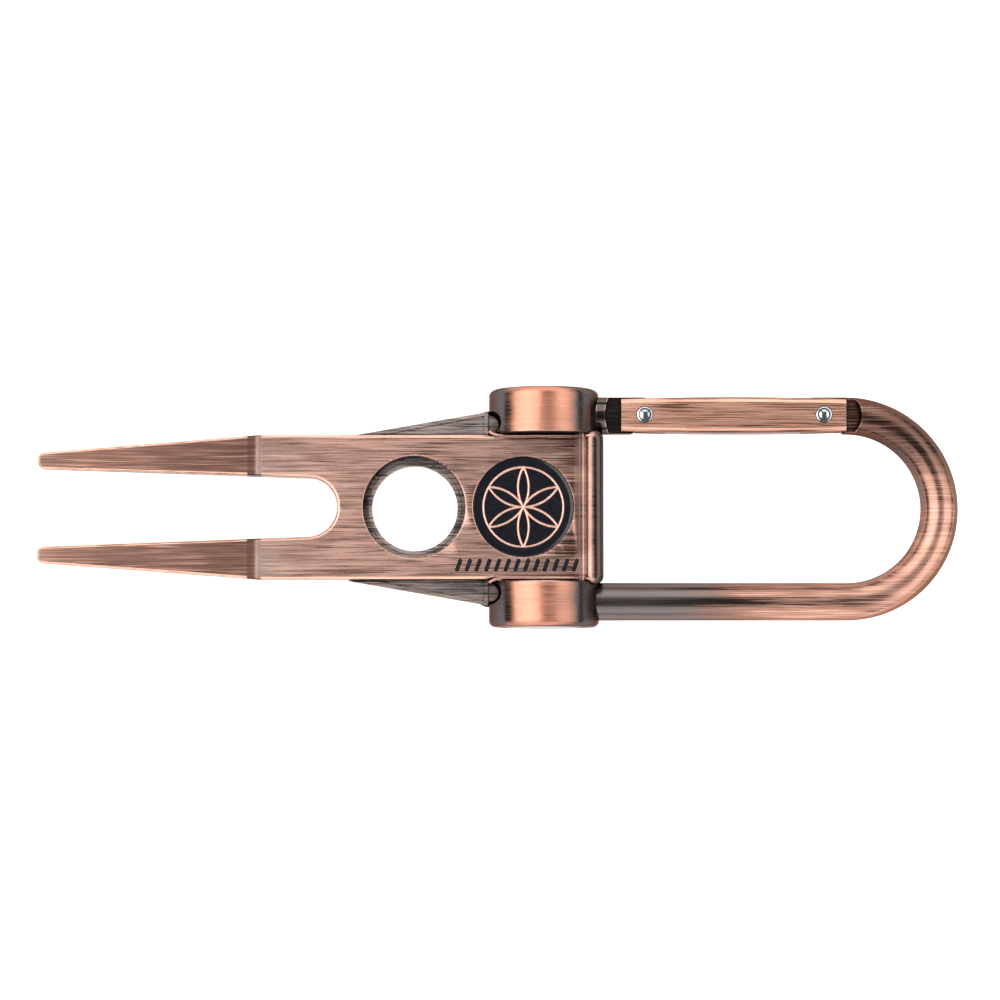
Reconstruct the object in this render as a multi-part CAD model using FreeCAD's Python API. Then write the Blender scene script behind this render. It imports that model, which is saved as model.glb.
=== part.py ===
import FreeCAD, Part
import math
import os

# Divot repair tool: a two-tined turf fork with a spring clip behind it and a carabiner loop on its other end.
# Millimetres. +X runs from the tine tips to the bend of the carabiner, +Y towards the gate, +Z out of the front.
# The origin is under the middle of the tool, at the level of the lowest point of the two ears.

# ---- driving dimensions ----
LENGTH = 91.8
EAR_R = 5.5
EAR_INNER = 7.3
EAR_OUTER = 11.87
EAR_ROUND = 0.65
HINGE_X = 4.505
HINGE_Z = EAR_R

PLATE_FRONT = 8.7
PLATE_BACK = 6.1
PLATE_HALF = 7.15
PLATE_EDGE = 0.38
TIP_X = -LENGTH / 2
BEND_X = -24.0
BEND_EASE = 6.0
TIP_FRONT = 7.25
TIP_OUTER = 5.5
TIP_INNER = 3.86
TIP_CORNER = 0.62
SLOT_R = 2.95
SLOT_CENTRE_X = -18.98
HOLE_X = -8.38
HOLE_R = 5.08
HOLE_EDGE = 0.12

BAR_LEFT = 8.44
BLADE_END = 9.0
BAR_RIGHT = 10.38
BAR_BOTTOM = 3.4
BAR_TOP = 8.95
BAR_ROUND = 0.85
BAR_OVERLAP = 0.35
LIP_LEFT = 0.2
LIP_CURL = 1.8
LIP_SWEEP = 40.0
LIP_Y = 7.1
LIP_Z = 8.62
LIP_R = 0.18
LIP_GROOVE_Y = 6.83
LIP_GROOVE_R = 0.13
WEB_BOTTOM = 7.4
WEB_TOP = 8.1
GROOVE_X = 8.2
GROOVE_R = 0.45
GROOVE_DEPTH = 0.1

EMBLEM_X = 2.435
EMBLEM_R = 4.98
EMBLEM_FLOOR = 8.0
BADGE_TOP = 8.15
ENAMEL_TOP = 8.34
RELIEF_TOP = 8.55
RELIEF_R = 4.15
RELIEF_LINE = 0.34
PETALS = 6

TICK_COUNT = 13
TICK_PITCH = 0.96
TICK_X = -3.95
TICK_Y = -5.78
TICK_LENGTH = 1.35
TICK_WIDTH = 0.42
TICK_LEAN = 20.0
TICK_DEPTH = 0.22

POST_R = 1.0
POST_CLEAR = 0.03
PIVOT_CLEAR = 0.05
HEAD_R = 4.1
HEAD_SEAT = 0.7
HEAD_THICK = 0.66
SCREW_R = 0.55
SCREW_CLEAR = 0.03
SCREW_DEPTH = 4.6

SCOOP_R = 2.0
KNUCKLE_R = 1.75
KNUCKLE_INNER = 3.6
KNUCKLE_OUTER = 6.98
WASHER_R = 1.72
WASHER_THICK = 0.24

CLIP_FRONT = 5.9
CLIP_BACK = 4.5
CLIP_TIP_X = -15.6
CLIP_END_X = -1.09
CLIP_TIP_HALF = 7.15
CLIP_END_HALF = 9.68
CLIP_NECK_HALF = 7.15
CLIP_HOLE_R = 4.27
CLIP_RIM = 0.34
CLIP_FLOOR_DEPTH = 0.16
TAIL_X = 2.6
NOTCH_X = -0.97
NOTCH_Y = 8.43
NOTCH_R = 1.24
NOTCH_LOW_R = 1.55
NOTCH_SWING = 0.7
TAB_R = 1.12
TAB_TOP = 5.5
TAB_BOTTOM = 4.65
FOOT_R = 1.4
FOOT_TOP = 5.0

SPRING_MEAN_R = 1.4
SPRING_WIRE_R = 0.22
SPRING_HALF = 3.4
LEG_R = 0.19
LEG_INSET = 0.4
CLIP_LEG = 6.2
FORK_LEG = 1.15

ARM_Y = 9.3
TUBE_R = 1.88
SPIGOT_R = 1.3
SPIGOT_X = 7.4
BOW_CENTRE_X = LENGTH / 2 - TUBE_R - ARM_Y
WEB_HALF = 0.55

GATE_LEFT = 12.23
GATE_RIGHT = 34.63
GATE_END_Y = 1.62
GATE_MID_Y = 1.79
GATE_END_Z = 1.68
GATE_MID_Z = 1.82
GATE_ROUND = 0.6
GATE_SLOT_HALF = 0.68
PIVOT_X = 14.55
LATCH_X = 32.41
LUG_STEP_R = 4.0
NOSE_STEP_R = 2.6
NOSE_STEP_X = 33.6
SLOT_ROOT = 2.05
LATCH_ROOT = 2.3
CAM_REACH = 1.55
CAM_CORNER = 0.9

RIVET_R = 0.55
RIVET_HEAD_R = 0.8
RIVET_SEAT = 0.16
RIVET_PROUD = 0.1
RIVET_PLAY = 0.05
PLUNGER_R = 0.62
PLUNGER_BORE = 0.68
PLUNGER_LENGTH = 2.2
BORE_END_X = 27.0
GATE_SPRING_R = 0.58
GATE_SPRING_INNER = 0.34

TINY = 0.01
UP = FreeCAD.Vector(0, 0, 1)
ALONG = FreeCAD.Vector(1, 0, 0)
ACROSS = FreeCAD.Vector(0, 1, 0)


# ---- small shape helpers ----
def point(x, y, z=0.0):
    return FreeCAD.Vector(x, y, z)


def block(x0, x1, y0, y1, z0, z1):
    return Part.makeBox(x1 - x0, y1 - y0, z1 - z0, point(x0, y0, z0))


def rod_z(x, y, r, z0, z1):
    return Part.makeCylinder(r, z1 - z0, point(x, y, z0), UP)


def rod_y(x, z, r, y0, y1):
    return Part.makeCylinder(r, y1 - y0, point(x, y0, z), ACROSS)


def rod_x(y, z, r, x0, x1):
    return Part.makeCylinder(r, x1 - x0, point(x0, y, z), ALONG)


def rod_between(start, end, r):
    way = end.sub(start)
    return Part.makeCylinder(r, way.Length, start, way)


def corner_arc(before, corner, after, radius):
    """Start, middle and end of the arc that rounds one corner of an outline."""
    to_before = before.sub(corner).normalize()
    to_after = after.sub(corner).normalize()
    half_angle = to_before.getAngle(to_after) / 2
    back = radius / math.tan(half_angle)
    inward = to_before.add(to_after).normalize()
    centre = corner.add(inward * (radius / math.sin(half_angle)))
    return corner.add(to_before * back), centre.sub(inward * radius), corner.add(to_after * back)


def closed_wire(corners):
    """Closed wire through (point, corner radius) pairs, sharp where the radius is 0."""
    edges = []
    stops = []
    for index, (corner, radius) in enumerate(corners):
        if radius:
            before, after = corners[index - 1][0], corners[(index + 1) % len(corners)][0]
            stops.append(corner_arc(before, corner, after, radius))
        else:
            stops.append((corner, None, corner))
    for index, (start, middle, end) in enumerate(stops):
        if middle:
            edges.append(Part.Arc(start, middle, end).toShape())
        following = stops[(index + 1) % len(stops)][0]
        if following.sub(end).Length > 1e-6:
            edges.append(Part.makeLine(end, following))
    return Part.Wire(edges)


def prism(outline, z0, z1):
    """Solid between two heights over a closed outline of (x, y) or (x, y, corner radius)."""
    corners = [(point(p[0], p[1], z0), p[2] if len(p) > 2 else 0) for p in outline]
    return Part.Face(closed_wire(corners)).extrude(point(0, 0, z1 - z0))


def side_prism(outline, y0, y1):
    """Solid between two places across the tool over a closed outline of (x, z) or (x, z, corner radius)."""
    corners = [(point(p[0], y0, p[1]), p[2] if len(p) > 2 else 0) for p in outline]
    return Part.Face(closed_wire(corners)).extrude(point(0, y1 - y0, 0))


def mirrored(shape):
    """The same shape on the other side of the tool's middle plane."""
    return shape.mirror(point(0, 0), ACROSS)


def rounded(shape, radius, chosen):
    """Fillet every edge for which chosen(edge) is true."""
    return shape.makeFillet(radius, [edge for edge in shape.Edges if chosen(edge)])


def flat_at(edge, z):
    """True for an edge that lies wholly at one height."""
    box = edge.BoundBox
    return abs(box.ZMin - z) < TINY and abs(box.ZMax - z) < TINY


def one(shape):
    """The single solid of a boolean's result."""
    return shape.removeSplitter().Solids[0]


# ---- the cast fork ----
def fork_blade():
    """Plate and tines, flat at the back and thinned towards the tips at the front."""
    tine = [
        (TIP_X, TIP_OUTER, TIP_CORNER),
        (TIP_X, TIP_INNER, TIP_CORNER),
        (SLOT_CENTRE_X, SLOT_R),
    ]
    outline = [(BLADE_END, -PLATE_HALF), (BLADE_END, PLATE_HALF), (BEND_X, PLATE_HALF, BEND_EASE)]
    outline += tine
    outline += [(x, -y, *corner) for x, y, *corner in reversed(tine)]
    outline.append((BEND_X, -PLATE_HALF, BEND_EASE))
    plan = prism(outline, PLATE_BACK - 1, PLATE_FRONT + 1)
    plan = plan.cut(rod_z(SLOT_CENTRE_X, 0, SLOT_R, PLATE_BACK - 2, PLATE_FRONT + 2))
    side = [
        (BLADE_END, PLATE_BACK),
        (BLADE_END, PLATE_FRONT),
        (BEND_X, PLATE_FRONT, BEND_EASE),
        (TIP_X - 0.1, TIP_FRONT),
        (TIP_X - 0.1, PLATE_BACK),
    ]
    blade = one(plan.common(side_prism(side, -PLATE_HALF - 1, PLATE_HALF + 1)))
    return rounded(blade, PLATE_EDGE, on_blade_front)


def on_blade_front(edge):
    """Front rim of the plate and the tines, but not the end that the bar covers."""
    box = edge.BoundBox
    in_front = box.ZMin > TIP_FRONT - 0.2
    crosses_tine = box.XLength < TINY and box.XMin > TIP_X + 0.5 and box.YLength > 1
    return in_front and not crosses_tine and box.XMin < BLADE_END - 1


def ear():
    """Boss on the gate's side that holds one end of the hinge post."""
    boss = rod_y(HINGE_X, HINGE_Z, EAR_R, EAR_INNER, EAR_OUTER)
    boss = rounded(boss, EAR_ROUND, lambda e: abs(e.BoundBox.YMin - EAR_OUTER) < TINY)
    return rounded(boss, 0.2, lambda e: abs(e.BoundBox.YMax - EAR_INNER) < TINY)


def cross_bar():
    """Rounded rib that joins the plate to both ears and closes the loop."""
    half_length = EAR_INNER + BAR_OVERLAP
    bar = block(BAR_LEFT, BAR_RIGHT, -half_length, half_length, BAR_BOTTOM, BAR_TOP)
    return rounded(bar, BAR_ROUND, lambda e: True)


def notched(boss):
    """The ear with room for the clip's shoulder, wider below, where its foot swings as the clip opens."""
    cuts = [
        rod_z(NOTCH_X, NOTCH_Y, NOTCH_R, FOOT_TOP, 2 * EAR_R + 1),
        rod_z(NOTCH_X, NOTCH_Y, NOTCH_LOW_R, -1, FOOT_TOP + 0.1),
        rod_z(NOTCH_X + NOTCH_SWING, NOTCH_Y, NOTCH_LOW_R, -1, TAB_BOTTOM + 0.05),
    ]
    for cut in cuts:
        boss = boss.cut(cut)
    return boss


def ear_lip():
    """Thin rounded bead along the plate's edge beside an ear, curled outwards at the notch."""
    corner = point(LIP_LEFT, LIP_Y, LIP_Z)
    stops = []
    for sweep in (LIP_SWEEP, LIP_SWEEP / 2):
        angle = math.radians(sweep)
        stops.append(corner.add(point(-LIP_CURL * math.sin(angle), LIP_CURL * (1 - math.cos(angle)))))
    curl = Part.Arc(stops[0], stops[1], corner).toShape()
    path = Part.Wire([curl, Part.makeLine(corner, point(BLADE_END, LIP_Y, LIP_Z))])
    way = stops[1].sub(stops[0])
    section = Part.Wire(Part.makeCircle(LIP_R, stops[0], way))
    return path.makePipeShell([section], True, True)


def ear_web():
    """Sunken web that closes the gap between the plate and an ear."""
    return block(LIP_LEFT, BLADE_END, PLATE_HALF - 0.1, EAR_INNER + 0.1, WEB_BOTTOM, WEB_TOP)


def spigot_socket(y):
    return rod_x(y, HINGE_Z, SPIGOT_R + 0.01, SPIGOT_X - 0.1, HINGE_X + EAR_R + 1)


def emblem_recess():
    return rod_z(EMBLEM_X, 0, EMBLEM_R, EMBLEM_FLOOR, PLATE_FRONT + 1)


def tick(index):
    """One short leaning groove of the decorative row."""
    x = TICK_X + index * TICK_PITCH
    half_x, half_y = TICK_WIDTH / 2, TICK_LENGTH / 2
    cut = block(-half_x, half_x, -half_y, half_y, PLATE_FRONT - TICK_DEPTH, PLATE_FRONT + 1)
    cut = rounded(cut, TICK_WIDTH * 0.45, lambda e: e.BoundBox.ZLength > 1)
    cut.rotate(point(0, 0), UP, -TICK_LEAN)
    cut.translate(point(x, TICK_Y))
    return cut


def fork_body():
    blade = fork_blade()
    upper_ear = notched(ear())
    furrow = rod_x(LIP_GROOVE_Y, PLATE_FRONT + 0.03, LIP_GROOVE_R, LIP_LEFT - 0.6, BLADE_END)
    blade = blade.cut([furrow, mirrored(furrow)])
    side = upper_ear.fuse([ear_lip(), ear_web()])
    body = blade.fuse([cross_bar(), side, mirrored(side)])
    groove_z = PLATE_FRONT + GROOVE_R - GROOVE_DEPTH
    groove = rod_y(GROOVE_X, groove_z, GROOVE_R, -PLATE_HALF - 0.2, PLATE_HALF + 0.2)
    shaft = rod_y(HINGE_X, HINGE_Z, POST_R + POST_CLEAR, -EAR_OUTER - 1, EAR_OUTER + 1)
    scoop = rod_y(HINGE_X, HINGE_Z, SCOOP_R, -PLATE_HALF - 0.2, PLATE_HALF + 0.2)
    seat = rod_y(HINGE_X, HINGE_Z, HEAD_R + 0.04, EAR_OUTER - HEAD_SEAT, EAR_OUTER + 1)
    hole = rod_z(HOLE_X, 0, HOLE_R, PLATE_BACK - 1, PLATE_FRONT + 1)
    cuts = [groove, shaft, scoop, seat, mirrored(seat), hole, emblem_recess()]
    cuts += [spigot_socket(ARM_Y), spigot_socket(-ARM_Y)]
    cuts += [tick(i) for i in range(TICK_COUNT)]
    body = one(body.cut(cuts))
    return rounded(body, HOLE_EDGE, on_round_rims)


def on_round_rims(edge):
    """Front rims of the through hole and the emblem recess."""
    if not flat_at(edge, PLATE_FRONT) or not hasattr(edge.Curve, "Radius"):
        return False
    return any(abs(edge.Curve.Radius - r) < TINY for r in (HOLE_R, EMBLEM_R))


# ---- the emblem ----
def petal_lines():
    """Six crossing arcs of a compass-drawn flower, as thin raised lines."""
    disc = rod_z(EMBLEM_X, 0, RELIEF_R, BADGE_TOP - 0.05, RELIEF_TOP)
    arcs = []
    for index in range(PETALS):
        angle = math.radians(30 + index * 360 / PETALS)
        x = EMBLEM_X + RELIEF_R * math.cos(angle)
        y = RELIEF_R * math.sin(angle)
        outer = rod_z(x, y, RELIEF_R + RELIEF_LINE / 2, BADGE_TOP - 0.05, RELIEF_TOP)
        inner = rod_z(x, y, RELIEF_R - RELIEF_LINE / 2, BADGE_TOP - 1, RELIEF_TOP + 1)
        arcs.append(outer.cut(inner).common(disc))
    rim = disc.cut(rod_z(EMBLEM_X, 0, RELIEF_R - RELIEF_LINE, BADGE_TOP - 1, RELIEF_TOP + 1))
    return rim.fuse(arcs)


def emblem_badge():
    """Struck disc with the raised flower, seated on the floor of the recess."""
    disc = rod_z(EMBLEM_X, 0, EMBLEM_R - 0.02, EMBLEM_FLOOR, BADGE_TOP)
    return one(disc.fuse(petal_lines()))


def emblem_enamel():
    """Black enamel that fills the badge round its raised lines."""
    fill = rod_z(EMBLEM_X, 0, EMBLEM_R - 0.02, BADGE_TOP, ENAMEL_TOP)
    return Part.makeCompound(fill.cut(petal_lines()).Solids)


# ---- the clip and its hinge ----
def clip_outline(inset=0.0):
    lean = (CLIP_END_HALF - CLIP_TIP_HALF) / (CLIP_END_X - CLIP_TIP_X)
    tip_half = CLIP_TIP_HALF - inset * (1 + lean)
    end_half = CLIP_END_HALF - inset * (1 + lean)
    left, right = CLIP_TIP_X + inset, CLIP_END_X - inset
    return [(left, -tip_half), (right, -end_half), (right, end_half), (left, tip_half)]


def clip_leaf():
    """Tapered plate behind the fork, with a thin raised rim along its edges."""
    leaf = prism(clip_outline(), CLIP_BACK, CLIP_FRONT)
    leaf = rounded(leaf, 1.2, lambda e: e.BoundBox.ZLength > 1 and e.BoundBox.XMax < CLIP_TIP_X + 0.1)
    leaf = rounded(leaf, 0.35, lambda e: flat_at(e, CLIP_BACK))
    tray = prism(clip_outline(CLIP_RIM), CLIP_FRONT - CLIP_FLOOR_DEPTH, CLIP_FRONT + 1)
    ring = rod_z(HOLE_X, 0, CLIP_HOLE_R + CLIP_RIM, CLIP_BACK - 1, CLIP_FRONT + 2)
    return leaf.cut(tray.cut(ring))


def clip_shoulder():
    """Rounded tab that runs in the notch of an ear, with a wider foot under it."""
    tab = rod_z(NOTCH_X, NOTCH_Y, TAB_R, TAB_BOTTOM, TAB_TOP)
    root = block(CLIP_END_X - 0.6, NOTCH_X, NOTCH_Y - TAB_R, NOTCH_Y + TAB_R, TAB_BOTTOM, TAB_TOP)
    tab = tab.fuse(root).removeSplitter()
    tab = rounded(tab, 0.3, lambda e: flat_at(e, TAB_TOP) and e.BoundBox.XMax > NOTCH_X + 0.5)
    return tab.fuse(rod_z(NOTCH_X, NOTCH_Y, FOOT_R, TAB_BOTTOM, FOOT_TOP))


def clip_knuckle():
    """One barrel of the clip on the hinge post, with its web and its thumb tail."""
    half_width = KNUCKLE_OUTER - KNUCKLE_INNER
    barrel = Part.makeCylinder(KNUCKLE_R, half_width, point(HINGE_X, KNUCKLE_INNER, HINGE_Z), ACROSS)
    web = block(CLIP_END_X - 1, HINGE_X, KNUCKLE_INNER, KNUCKLE_OUTER, CLIP_BACK, CLIP_FRONT - 0.1)
    return barrel.fuse(web)


def clip_tail():
    """Thumb pad behind the hinge: pressing it opens the clip."""
    outline = [
        (HINGE_X - 1.6, HINGE_Z - 0.9),
        (HINGE_X - 1.2, HINGE_Z - 3.6),
        (HINGE_X + TAIL_X, HINGE_Z - 3.9),
        (HINGE_X + TAIL_X, HINGE_Z - 2.9),
        (HINGE_X + 0.4, HINGE_Z - 2.3),
        (HINGE_X + 0.9, HINGE_Z - 1.3),
        (HINGE_X, HINGE_Z - 0.9),
    ]
    tail = side_prism(outline, -KNUCKLE_OUTER, KNUCKLE_OUTER)
    return tail.cut(rod_y(HINGE_X, HINGE_Z, SCOOP_R, -KNUCKLE_INNER, KNUCKLE_INNER))


def clip_plate():
    leaf = clip_leaf()
    shoulder = clip_shoulder()
    knuckle = clip_knuckle()
    neck_end = HINGE_X - SCOOP_R - 0.3
    neck = block(CLIP_END_X - 1, neck_end, -CLIP_NECK_HALF, CLIP_NECK_HALF, CLIP_BACK, CLIP_FRONT - 0.1)
    pieces = [shoulder, mirrored(shoulder), knuckle, mirrored(knuckle), neck, clip_tail()]
    body = leaf.fuse(pieces)
    hole = rod_z(HOLE_X, 0, CLIP_HOLE_R, CLIP_BACK - 1, CLIP_FRONT + 1)
    shaft = rod_y(HINGE_X, HINGE_Z, POST_R + PIVOT_CLEAR, -EAR_INNER, EAR_INNER)
    leg_y = -SPRING_HALF + LEG_INSET
    leg_room = rod_x(leg_y, HINGE_Z - SPRING_MEAN_R, LEG_R + 0.06, HINGE_X - CLIP_LEG - 1, HINGE_X)
    return one(body.cut([hole, shaft, leg_room]))


def hinge_post():
    """Barrel post: a wide flat head on the outer arm's side and a tapped end on the gate's side."""
    head = rod_y(HINGE_X, HINGE_Z, HEAD_R, -EAR_OUTER + HEAD_SEAT - HEAD_THICK, -EAR_OUTER + HEAD_SEAT)
    head = head.makeChamfer(0.12, [e for e in head.Edges if e.BoundBox.YMax < -EAR_OUTER + 0.1])
    shank = rod_y(HINGE_X, HINGE_Z, POST_R, -EAR_OUTER + HEAD_SEAT, EAR_OUTER - HEAD_SEAT - 0.1)
    tapping = rod_y(HINGE_X, HINGE_Z, SCREW_R + SCREW_CLEAR, EAR_OUTER - HEAD_SEAT - SCREW_DEPTH, EAR_OUTER)
    return one(head.fuse(shank).cut(tapping))


def hinge_screw():
    """Slotted screw that closes the hinge post from the gate's side."""
    head = rod_y(HINGE_X, HINGE_Z, HEAD_R, EAR_OUTER - HEAD_SEAT, EAR_OUTER - HEAD_SEAT + HEAD_THICK)
    head = head.makeChamfer(0.12, [e for e in head.Edges if e.BoundBox.YMin > EAR_OUTER - 0.1])
    shank = rod_y(HINGE_X, HINGE_Z, SCREW_R, EAR_OUTER - HEAD_SEAT - SCREW_DEPTH + 0.3, EAR_OUTER - HEAD_SEAT)
    slot = block(HINGE_X - 2.6, HINGE_X + 2.6, EAR_OUTER - 0.4, EAR_OUTER + 1, HINGE_Z - 0.35, HINGE_Z + 0.35)
    return one(head.fuse(shank).cut(slot))


def hinge_washer():
    """Thin washer between a knuckle and its ear."""
    start = (KNUCKLE_OUTER + EAR_INNER - WASHER_THICK) / 2
    ring = rod_y(HINGE_X, HINGE_Z, WASHER_R, start, start + WASHER_THICK)
    return ring.cut(rod_y(HINGE_X, HINGE_Z, POST_R + PIVOT_CLEAR, start - 1, start + 1))


def clip_spring():
    """Torsion spring: a sleeve that stands for its coils, one leg under the clip, one under the fork."""
    coil = rod_y(HINGE_X, HINGE_Z, SPRING_MEAN_R + SPRING_WIRE_R, -SPRING_HALF, SPRING_HALF)
    coil = coil.cut(rod_y(HINGE_X, HINGE_Z, SPRING_MEAN_R - SPRING_WIRE_R, -SPRING_HALF - 1, SPRING_HALF + 1))
    low = point(HINGE_X, -SPRING_HALF + LEG_INSET, HINGE_Z - SPRING_MEAN_R)
    clip_leg = rod_between(low, low.add(point(-CLIP_LEG, 0, 0)), LEG_R)
    lift = math.radians(60)
    top_x = HINGE_X + SPRING_MEAN_R * math.cos(lift)
    top_z = HINGE_Z + SPRING_MEAN_R * math.sin(lift)
    top = point(top_x, SPRING_HALF - LEG_INSET, top_z)
    way = point(FORK_LEG * math.sin(lift), 0, -FORK_LEG * math.cos(lift))
    fork_leg = rod_between(top, top.add(way), LEG_R)
    return one(coil.fuse([clip_leg, fork_leg]))


# ---- the carabiner loop ----
def notch_for_latch():
    """Hook in the nose: the latch rivet enters it from inside the loop and stops against its roof."""
    roof = ARM_Y + RIVET_R + 0.05
    left, right = LATCH_X - 0.69, LATCH_X + 0.8
    slot = block(left, right, ARM_Y - 2 * TUBE_R, roof, HINGE_Z - 1, HINGE_Z + 1)
    slot = rounded(slot, 0.25, lambda e: e.BoundBox.ZLength > 1 and e.BoundBox.YMin > roof - 0.01)
    below_hook = block(LATCH_X - 2, left + 0.01, ARM_Y - 2 * TUBE_R, ARM_Y - 0.1, HINGE_Z - 1, HINGE_Z + 1)
    beside = [
        (right - 0.01, ARM_Y - 2 * TUBE_R),
        (right - 0.01, ARM_Y - 0.9),
        (BOW_CENTRE_X - 0.72, ARM_Y - 1.45),
        (BOW_CENTRE_X - 0.3, ARM_Y - TUBE_R),
        (BOW_CENTRE_X - 0.3, ARM_Y - 2 * TUBE_R),
    ]
    return slot.fuse([below_hook, prism(beside, HINGE_Z - 1, HINGE_Z + 1)])


def carabiner_bow(fork):
    """Round rod: pressed into one ear, bent through half a turn, its end cut down to the hooked nose."""
    bend = Part.makeTorus(ARM_Y, TUBE_R, point(BOW_CENTRE_X, 0, HINGE_Z), UP)
    bend = bend.common(block(BOW_CENTRE_X, LENGTH, -20, 20, 0, 2 * EAR_R))
    long_arm = rod_x(-ARM_Y, HINGE_Z, TUBE_R, HINGE_X + EAR_R - 1, BOW_CENTRE_X)
    nose = rod_x(ARM_Y, HINGE_Z, TUBE_R, LATCH_X - 1.1, BOW_CENTRE_X)
    rod = bend.fuse([long_arm, nose]).removeSplitter()
    step = rod_z(NOSE_STEP_X, ARM_Y, NOSE_STEP_R, 0, 2 * EAR_R)
    step = step.fuse(block(LATCH_X - 3, NOSE_STEP_X, ARM_Y - 3, ARM_Y + 3, 0, 2 * EAR_R))
    web = block(LATCH_X - 4, BOW_CENTRE_X + 4, ARM_Y - 4, ARM_Y + 4, HINGE_Z - WEB_HALF, HINGE_Z + WEB_HALF)
    rod = rod.cut(step.cut(web)).cut(notch_for_latch()).cut(fork)
    spigot = rod_x(-ARM_Y, HINGE_Z, SPIGOT_R, SPIGOT_X, HINGE_X + EAR_R)
    return one(biggest(rod).fuse(spigot))


def biggest(shape):
    return max(shape.Solids, key=lambda solid: solid.Volume)


def tongue_outline():
    """Hinge tongue about the pivot: a heel on the outer side and a cam corner for the plunger."""
    return [
        (PIVOT_X - LUG_STEP_R - 3, ARM_Y + TUBE_R),
        (PIVOT_X, ARM_Y + TUBE_R),
        (PIVOT_X + 0.45, ARM_Y + 1.6),
        (PIVOT_X + CAM_REACH, ARM_Y + 0.95),
        (PIVOT_X + CAM_REACH, ARM_Y - CAM_CORNER),
        (PIVOT_X + 0.8, ARM_Y - 1.45),
        (PIVOT_X - 0.8, ARM_Y - 1.55),
        (PIVOT_X - 1.35, ARM_Y - TUBE_R),
        (PIVOT_X - LUG_STEP_R - 3, ARM_Y - TUBE_R),
    ]


def gate_lug(fork):
    """Stub of rod in the other ear, cut down to the tongue that carries the gate."""
    stub = rod_x(ARM_Y, HINGE_Z, TUBE_R, HINGE_X + EAR_R - 1, PIVOT_X + 3)
    keep = prism(tongue_outline(), 0, 2 * EAR_R)
    step = rod_z(PIVOT_X, ARM_Y, LUG_STEP_R, 0, 2 * EAR_R)
    web = block(HINGE_X, PIVOT_X + 4, ARM_Y - 4, ARM_Y + 4, HINGE_Z - WEB_HALF, HINGE_Z + WEB_HALF)
    lug = biggest(stub.common(keep).cut(step.cut(web)).cut(fork))
    spigot = rod_x(ARM_Y, HINGE_Z, SPIGOT_R, SPIGOT_X, HINGE_X + EAR_R)
    bore = rod_z(PIVOT_X, ARM_Y, RIVET_R + RIVET_PLAY, 0, 2 * EAR_R)
    return one(lug.fuse(spigot).cut(bore))


# ---- the gate ----
def arc_through(left, middle, right):
    return Part.Arc(left, middle, right).toShape()


def gate_blank():
    """Solid bar, fuller in the middle than at its ends in both directions, with rounded corners."""
    mid_x = (GATE_LEFT + GATE_RIGHT) / 2
    top = arc_through(
        point(GATE_LEFT, ARM_Y + GATE_END_Y), point(mid_x, ARM_Y + GATE_MID_Y), point(GATE_RIGHT, ARM_Y + GATE_END_Y)
    )
    low = arc_through(
        point(GATE_RIGHT, ARM_Y - GATE_END_Y), point(mid_x, ARM_Y - GATE_MID_Y), point(GATE_LEFT, ARM_Y - GATE_END_Y)
    )
    right = Part.makeLine(point(GATE_RIGHT, ARM_Y + GATE_END_Y), point(GATE_RIGHT, ARM_Y - GATE_END_Y))
    left = Part.makeLine(point(GATE_LEFT, ARM_Y - GATE_END_Y), point(GATE_LEFT, ARM_Y + GATE_END_Y))
    plan = Part.Face(Part.Wire([top, right, low, left])).extrude(point(0, 0, 2 * EAR_R))

    front = arc_through(
        point(GATE_LEFT, 0, HINGE_Z + GATE_END_Z), point(mid_x, 0, HINGE_Z + GATE_MID_Z),
        point(GATE_RIGHT, 0, HINGE_Z + GATE_END_Z)
    )
    back = arc_through(
        point(GATE_RIGHT, 0, HINGE_Z - GATE_END_Z), point(mid_x, 0, HINGE_Z - GATE_MID_Z),
        point(GATE_LEFT, 0, HINGE_Z - GATE_END_Z)
    )
    right = Part.makeLine(point(GATE_RIGHT, 0, HINGE_Z + GATE_END_Z), point(GATE_RIGHT, 0, HINGE_Z - GATE_END_Z))
    left = Part.makeLine(point(GATE_LEFT, 0, HINGE_Z - GATE_END_Z), point(GATE_LEFT, 0, HINGE_Z + GATE_END_Z))
    side = Part.Face(Part.Wire([front, right, back, left])).extrude(point(0, 20, 0))
    blank = one(plan.common(side))
    return rounded(blank, GATE_ROUND, lambda e: e.BoundBox.XLength > 20)


def rivet_seats(x):
    """Shallow round seats for a rivet's two heads."""
    front = rod_z(x, ARM_Y, RIVET_HEAD_R + 0.05, HINGE_Z + GATE_END_Z - RIVET_SEAT + 0.03, 2 * EAR_R)
    back = rod_z(x, ARM_Y, RIVET_HEAD_R + 0.05, 0, HINGE_Z - GATE_END_Z + RIVET_SEAT - 0.03)
    return front.fuse(back)


def gate_bar():
    low, high = HINGE_Z - GATE_SLOT_HALF, HINGE_Z + GATE_SLOT_HALF
    cuts = [
        block(GATE_LEFT - 1, PIVOT_X + SLOT_ROOT, ARM_Y - 3, ARM_Y + 3, low, high),
        block(LATCH_X - LATCH_ROOT, GATE_RIGHT + 1, ARM_Y - 3, ARM_Y + 3, low, high),
        rod_x(ARM_Y, HINGE_Z, PLUNGER_BORE, PIVOT_X, BORE_END_X),
    ]
    for x in (PIVOT_X, LATCH_X):
        cuts.append(rod_z(x, ARM_Y, RIVET_R, 0, 2 * EAR_R))
        cuts.append(rivet_seats(x))
    return one(gate_blank().cut(cuts))


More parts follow.
